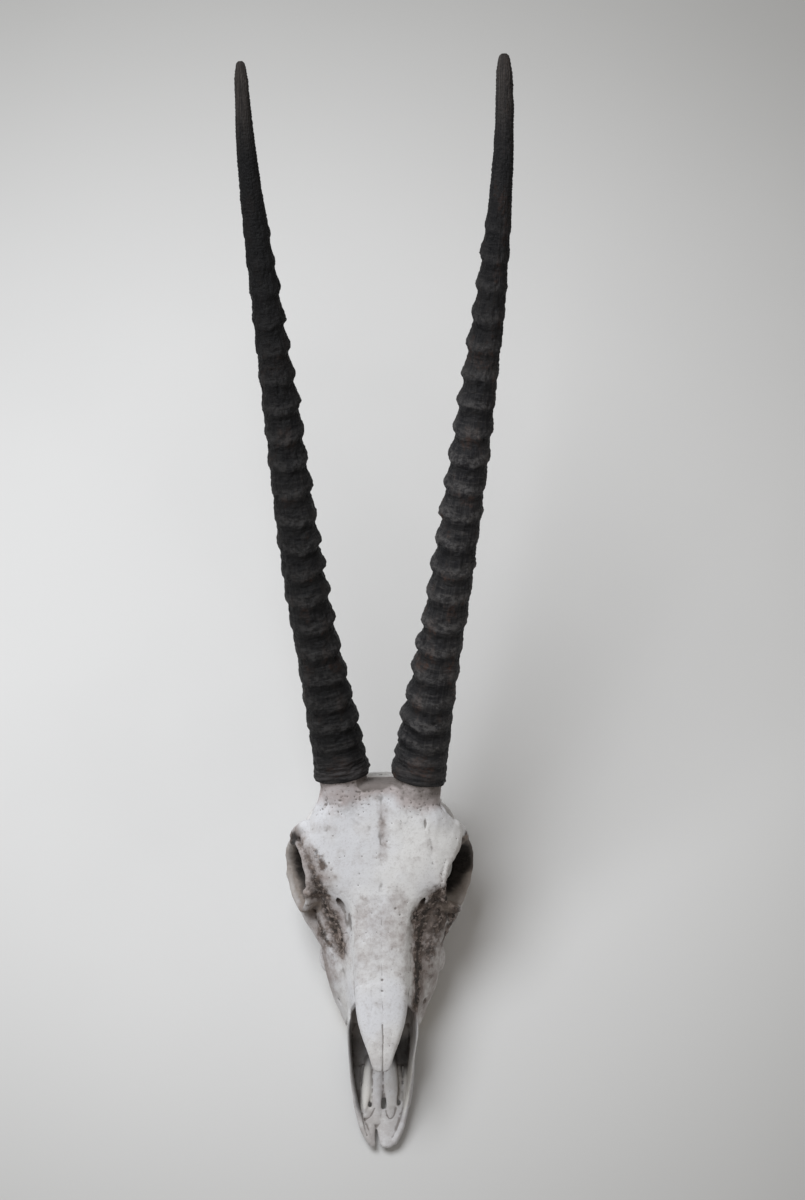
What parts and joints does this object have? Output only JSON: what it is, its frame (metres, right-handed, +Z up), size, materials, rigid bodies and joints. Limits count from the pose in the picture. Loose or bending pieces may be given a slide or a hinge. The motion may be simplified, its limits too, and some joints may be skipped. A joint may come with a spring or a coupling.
{
  "type": "gemsbok skull",
  "caption": "Gemsbok skull without its lower jaw, with long ringed horns, lying on its cheek teeth.",
  "frame": {"origin": "on the surface that the skull rests on, under the middle of its bounding box", "axes": "+Y runs from the snout to the horn tips, +X to the animal's left, +Z up, away from the chewing faces of the teeth"},
  "size_m": [0.2392, 0.8067, 0.5295],
  "materials": {
    "bone": "dry weathered bone, matt",
    "horn_left": "ringed horn, dull",
    "horn_right": "ringed horn, dull",
    "teeth": "worn enamel, satin"
  },
  "bodies": {
    "root": {"skull": "bone", "horn_left": "horn_left", "horn_right": "horn_right", "premolar_2_left": "teeth", "premolar_2_right": "teeth", "premolar_3_left": "teeth", "premolar_3_right": "teeth", "premolar_4_left": "teeth", "premolar_4_right": "teeth", "molar_1_left": "teeth", "molar_1_right": "teeth", "molar_2_left": "teeth", "molar_2_right": "teeth", "molar_3_left": "teeth", "molar_3_right": "teeth"}
  },
  "joints": []
}
